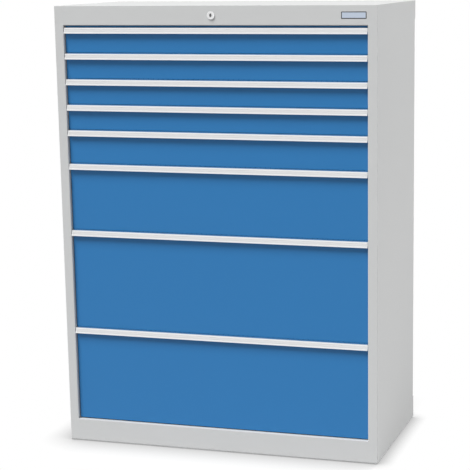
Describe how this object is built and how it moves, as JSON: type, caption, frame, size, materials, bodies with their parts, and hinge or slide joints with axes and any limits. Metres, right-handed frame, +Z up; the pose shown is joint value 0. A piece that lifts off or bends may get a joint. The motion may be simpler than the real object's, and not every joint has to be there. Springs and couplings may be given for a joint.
{
  "type": "modular drawer cabinet",
  "caption": "Free-standing sheet-steel drawer cabinet: grey body, full-width blue drawer fronts with aluminium grip strips, telescopic runners and a central cylinder lock.",
  "frame": {"origin": "on the floor, in the middle of the overall footprint (grip strips included)", "axes": "+Z up, the drawer fronts face -Y and open towards -Y, +X to the right seen from the front"},
  "size_m": [0.97, 0.504, 1.32],
  "materials": {
    "grey_body": "light grey powder coat, semi-gloss, fine orange peel",
    "blue_front": "blue powder coat, semi-gloss",
    "grey_tray": "light grey powder coat inside and out",
    "aluminium": "satin anodised extrusion",
    "zinc": "bright zinc plated steel",
    "lock_metal": "satin nickel plated zinc casting"
  },
  "bodies": {
    "cabinet": {"side_wall_left": "grey_body", "side_wall_right": "grey_body", "rear_wall": "grey_body", "top_cover": "grey_body", "fascia_rail": "grey_body", "base_pan": "grey_body", "upright_strips": "zinc", "cabinet_runners": "zinc", "lock_guides": "zinc", "lock_barrel": "lock_metal"},
    "lock_plug": {"lock_plug": "lock_metal"},
    "lock_bar": {"lock_bar": "zinc"},
    "drawer_1": {"drawer_1_tray": "grey_tray", "drawer_1_front": "blue_front", "drawer_1_grip": "aluminium", "drawer_1_catch": "zinc", "drawer_1_runners": "zinc"},
    "middle_1": {"middle_runners_1": "zinc"},
    "drawer_2": {"drawer_2_tray": "grey_tray", "drawer_2_front": "blue_front", "drawer_2_grip": "aluminium", "drawer_2_catch": "zinc", "drawer_2_runners": "zinc"},
    "middle_2": {"middle_runners_2": "zinc"},
    "drawer_3": {"drawer_3_tray": "grey_tray", "drawer_3_front": "blue_front", "drawer_3_grip": "aluminium", "drawer_3_catch": "zinc", "drawer_3_runners": "zinc"},
    "middle_3": {"middle_runners_3": "zinc"},
    "drawer_4": {"drawer_4_tray": "grey_tray", "drawer_4_front": "blue_front", "drawer_4_grip": "aluminium", "drawer_4_catch": "zinc", "drawer_4_runners": "zinc"},
    "middle_4": {"middle_runners_4": "zinc"},
    "drawer_5": {"drawer_5_tray": "grey_tray", "drawer_5_front": "blue_front", "drawer_5_grip": "aluminium", "drawer_5_catch": "zinc", "drawer_5_runners": "zinc"},
    "middle_5": {"middle_runners_5": "zinc"},
    "drawer_6": {"drawer_6_tray": "grey_tray", "drawer_6_front": "blue_front", "drawer_6_grip": "aluminium", "drawer_6_catch": "zinc", "drawer_6_runners": "zinc"},
    "middle_6": {"middle_runners_6": "zinc"},
    "drawer_7": {"drawer_7_tray": "grey_tray", "drawer_7_front": "blue_front", "drawer_7_grip": "aluminium", "drawer_7_catch": "zinc", "drawer_7_runners": "zinc"},
    "middle_7": {"middle_runners_7": "zinc"},
    "drawer_8": {"drawer_8_tray": "grey_tray", "drawer_8_front": "blue_front", "drawer_8_grip": "aluminium", "drawer_8_catch": "zinc", "drawer_8_runners": "zinc"},
    "middle_8": {"middle_runners_8": "zinc"}
  },
  "joints": [
    {"name": "drawer_1_slide", "type": "slide", "parent": "cabinet", "child": "drawer_1", "axis": [0, -1, 0], "range_m": [0, 0.43]},
    {"name": "middle_1_slide", "type": "slide", "parent": "cabinet", "child": "middle_1", "axis": [0, -1, 0], "range_m": [0, 0.215]},
    {"name": "drawer_2_slide", "type": "slide", "parent": "cabinet", "child": "drawer_2", "axis": [0, -1, 0], "range_m": [0, 0.43]},
    {"name": "middle_2_slide", "type": "slide", "parent": "cabinet", "child": "middle_2", "axis": [0, -1, 0], "range_m": [0, 0.215]},
    {"name": "drawer_3_slide", "type": "slide", "parent": "cabinet", "child": "drawer_3", "axis": [0, -1, 0], "range_m": [0, 0.43]},
    {"name": "middle_3_slide", "type": "slide", "parent": "cabinet", "child": "middle_3", "axis": [0, -1, 0], "range_m": [0, 0.215]},
    {"name": "drawer_4_slide", "type": "slide", "parent": "cabinet", "child": "drawer_4", "axis": [0, -1, 0], "range_m": [0, 0.43]},
    {"name": "middle_4_slide", "type": "slide", "parent": "cabinet", "child": "middle_4", "axis": [0, -1, 0], "range_m": [0, 0.215]},
    {"name": "drawer_5_slide", "type": "slide", "parent": "cabinet", "child": "drawer_5", "axis": [0, -1, 0], "range_m": [0, 0.43]},
    {"name": "middle_5_slide", "type": "slide", "parent": "cabinet", "child": "middle_5", "axis": [0, -1, 0], "range_m": [0, 0.215]},
    {"name": "drawer_6_slide", "type": "slide", "parent": "cabinet", "child": "drawer_6", "axis": [0, -1, 0], "range_m": [0, 0.43]},
    {"name": "middle_6_slide", "type": "slide", "parent": "cabinet", "child": "middle_6", "axis": [0, -1, 0], "range_m": [0, 0.215]},
    {"name": "drawer_7_slide", "type": "slide", "parent": "cabinet", "child": "drawer_7", "axis": [0, -1, 0], "range_m": [0, 0.43]},
    {"name": "middle_7_slide", "type": "slide", "parent": "cabinet", "child": "middle_7", "axis": [0, -1, 0], "range_m": [0, 0.215]},
    {"name": "drawer_8_slide", "type": "slide", "parent": "cabinet", "child": "drawer_8", "axis": [0, -1, 0], "range_m": [0, 0.43]},
    {"name": "middle_8_slide", "type": "slide", "parent": "cabinet", "child": "middle_8", "axis": [0, -1, 0], "range_m": [0, 0.215]},
    {"name": "lock_turn", "type": "hinge", "parent": "cabinet", "child": "lock_plug", "pos_m": [0, -0.25, 1.2925], "axis": [0, 1, 0], "range_deg": [0, 90]},
    {"name": "lock_bar_lift", "type": "slide", "parent": "cabinet", "child": "lock_bar", "axis": [0, 0, 1], "range_m": [0, 0.01131]}
  ],
  "couplings": [
    {"joint": "middle_1_slide", "follows": "drawer_1_slide", "ratio": 0.5},
    {"joint": "middle_2_slide", "follows": "drawer_2_slide", "ratio": 0.5},
    {"joint": "middle_3_slide", "follows": "drawer_3_slide", "ratio": 0.5},
    {"joint": "middle_4_slide", "follows": "drawer_4_slide", "ratio": 0.5},
    {"joint": "middle_5_slide", "follows": "drawer_5_slide", "ratio": 0.5},
    {"joint": "middle_6_slide", "follows": "drawer_6_slide", "ratio": 0.5},
    {"joint": "middle_7_slide", "follows": "drawer_7_slide", "ratio": 0.5},
    {"joint": "middle_8_slide", "follows": "drawer_8_slide", "ratio": 0.5},
    {"joint": "lock_turn", "follows": "lock_bar_lift", "rad_per_m": 138.84}
  ]
}
